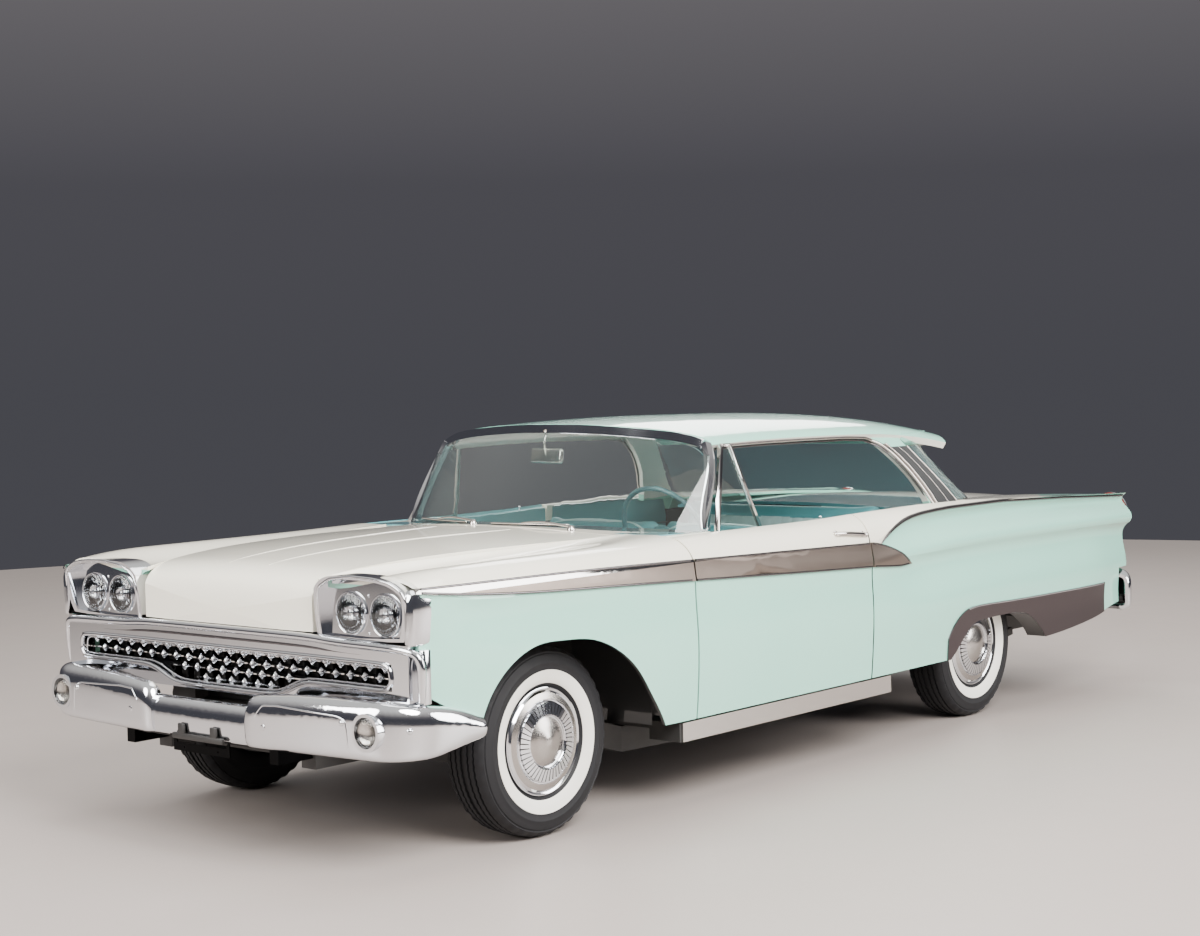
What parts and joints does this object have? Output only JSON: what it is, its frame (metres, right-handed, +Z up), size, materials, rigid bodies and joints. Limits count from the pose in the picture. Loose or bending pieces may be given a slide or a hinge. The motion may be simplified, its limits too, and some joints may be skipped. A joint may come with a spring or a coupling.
{
  "type": "two-door hardtop car, 1950s",
  "caption": "Full-size two-door hardtop car with opening doors, hood and boot lid, steered front wheels and bench seats.",
  "frame": {"origin": "on the ground under the middle of the overall box of length, width and height", "axes": "+X forwards to the front bumper, +Y to the driver's left side, +Z up"},
  "size_m": [5.2833, 1.9526, 1.4268],
  "materials": {
    "mint_paint": "gloss enamel, pale mint",
    "cream_paint": "gloss enamel, creamy white",
    "chrome": "bright plated",
    "satin_trim": "satin anodised",
    "lamp_glass": "clear ribbed glass",
    "red_lens": "red lens",
    "glass": "clear, faint green",
    "tyre": "black with a white band",
    "dark_steel": "black chassis paint",
    "steel": "plain plated steel",
    "vinyl": "turquoise vinyl",
    "dash_paint": "turquoise enamel",
    "floor_paint": "dark under-floor paint"
  },
  "bodies": {
    "car_body": {"floor_pan": "floor_paint", "cowl_panel": "cream_paint", "front_fender_left": "mint_paint", "front_fender_right": "mint_paint", "quarter_left": "mint_paint", "quarter_right": "mint_paint", "roof_panel": "mint_paint", "windscreen_frame": "chrome", "windscreen_glass": "glass", "rear_window_glass": "glass", "rear_shelf": "cream_paint", "rear_valance": "mint_paint", "front_surround": "chrome", "grille": "chrome", "headlamp_bezels": "chrome", "headlamps": "lamp_glass", "bumper_front": "chrome", "bumper_rear": "chrome", "tail_lamps": "red_lens", "body_trim": "satin_trim", "engine_aprons": "dark_steel", "chassis_frame": "dark_steel", "engine_block": "dark_steel", "fuel_tank": "steel", "exhaust": "steel", "rear_axle": "dark_steel", "front_suspension": "dark_steel", "dashboard": "dash_paint", "front_seat": "vinyl", "rear_seat": "vinyl"},
    "hood": {"hood": "cream_paint"},
    "boot_lid": {"boot_lid": "cream_paint"},
    "door_left": {"door_left": "mint_paint", "door_trim_left": "satin_trim", "vent_glass_left": "glass"},
    "door_right": {"door_right": "mint_paint", "door_trim_right": "satin_trim", "vent_glass_right": "glass"},
    "knuckle_left": {"knuckle_left": "dark_steel"},
    "knuckle_right": {"knuckle_right": "dark_steel"},
    "steering_wheel": {"steering_wheel": "dash_paint"},
    "wheel_front_left": {"tyre_front_left": "tyre", "wheel_front_left": "chrome"},
    "wheel_front_right": {"tyre_front_right": "tyre", "wheel_front_right": "chrome"},
    "wheel_rear_left": {"tyre_rear_left": "tyre", "wheel_rear_left": "chrome"},
    "wheel_rear_right": {"tyre_rear_right": "tyre", "wheel_rear_right": "chrome"}
  },
  "joints": [
    {"name": "hood_hinge", "type": "hinge", "parent": "car_body", "child": "hood", "pos_m": [1.17, 0, 1], "axis": [0, -1, 0], "range_deg": [0, 50]},
    {"name": "boot_lid_hinge", "type": "hinge", "parent": "car_body", "child": "boot_lid", "pos_m": [-1.58, 0, 0.975], "axis": [0, 1, 0], "range_deg": [0, 70]},
    {"name": "door_left_hinge", "type": "hinge", "parent": "car_body", "child": "door_left", "pos_m": [1.047, 0.952, 0.65], "axis": [0, 0, -1], "range_deg": [0, 65]},
    {"name": "door_right_hinge", "type": "hinge", "parent": "car_body", "child": "door_right", "pos_m": [1.047, -0.952, 0.65], "axis": [0, 0, 1], "range_deg": [0, 65]},
    {"name": "steer_left", "type": "hinge", "parent": "car_body", "child": "knuckle_left", "pos_m": [1.7815, 0.6535, 0.334], "axis": [0, 0, 1], "range_deg": [-30, 30]},
    {"name": "steer_right", "type": "hinge", "parent": "car_body", "child": "knuckle_right", "pos_m": [1.7815, -0.6535, 0.334], "axis": [0, 0, 1], "range_deg": [-30, 30]},
    {"name": "steering_wheel_turn", "type": "hinge", "parent": "car_body", "child": "steering_wheel", "pos_m": [0.523, 0.38, 0.955], "axis": [-0.9063, 0, 0.4226], "range_deg": [-600, 600]},
    {"name": "roll_front_left", "type": "hinge", "parent": "knuckle_left", "child": "wheel_front_left", "pos_m": [1.7815, 0.7495, 0.334], "axis": [0, 1, 0], "continuous": true},
    {"name": "roll_front_right", "type": "hinge", "parent": "knuckle_right", "child": "wheel_front_right", "pos_m": [1.7815, -0.7495, 0.334], "axis": [0, 1, 0], "continuous": true},
    {"name": "roll_rear_left", "type": "hinge", "parent": "car_body", "child": "wheel_rear_left", "pos_m": [-1.2155, 0.7165, 0.334], "axis": [0, 1, 0], "continuous": true},
    {"name": "roll_rear_right", "type": "hinge", "parent": "car_body", "child": "wheel_rear_right", "pos_m": [-1.2155, -0.7165, 0.334], "axis": [0, 1, 0], "continuous": true}
  ],
  "couplings": [
    {"joint": "steer_right", "follows": "steer_left", "ratio": 1},
    {"joint": "steering_wheel_turn", "follows": "steer_left", "ratio": 20}
  ]
}
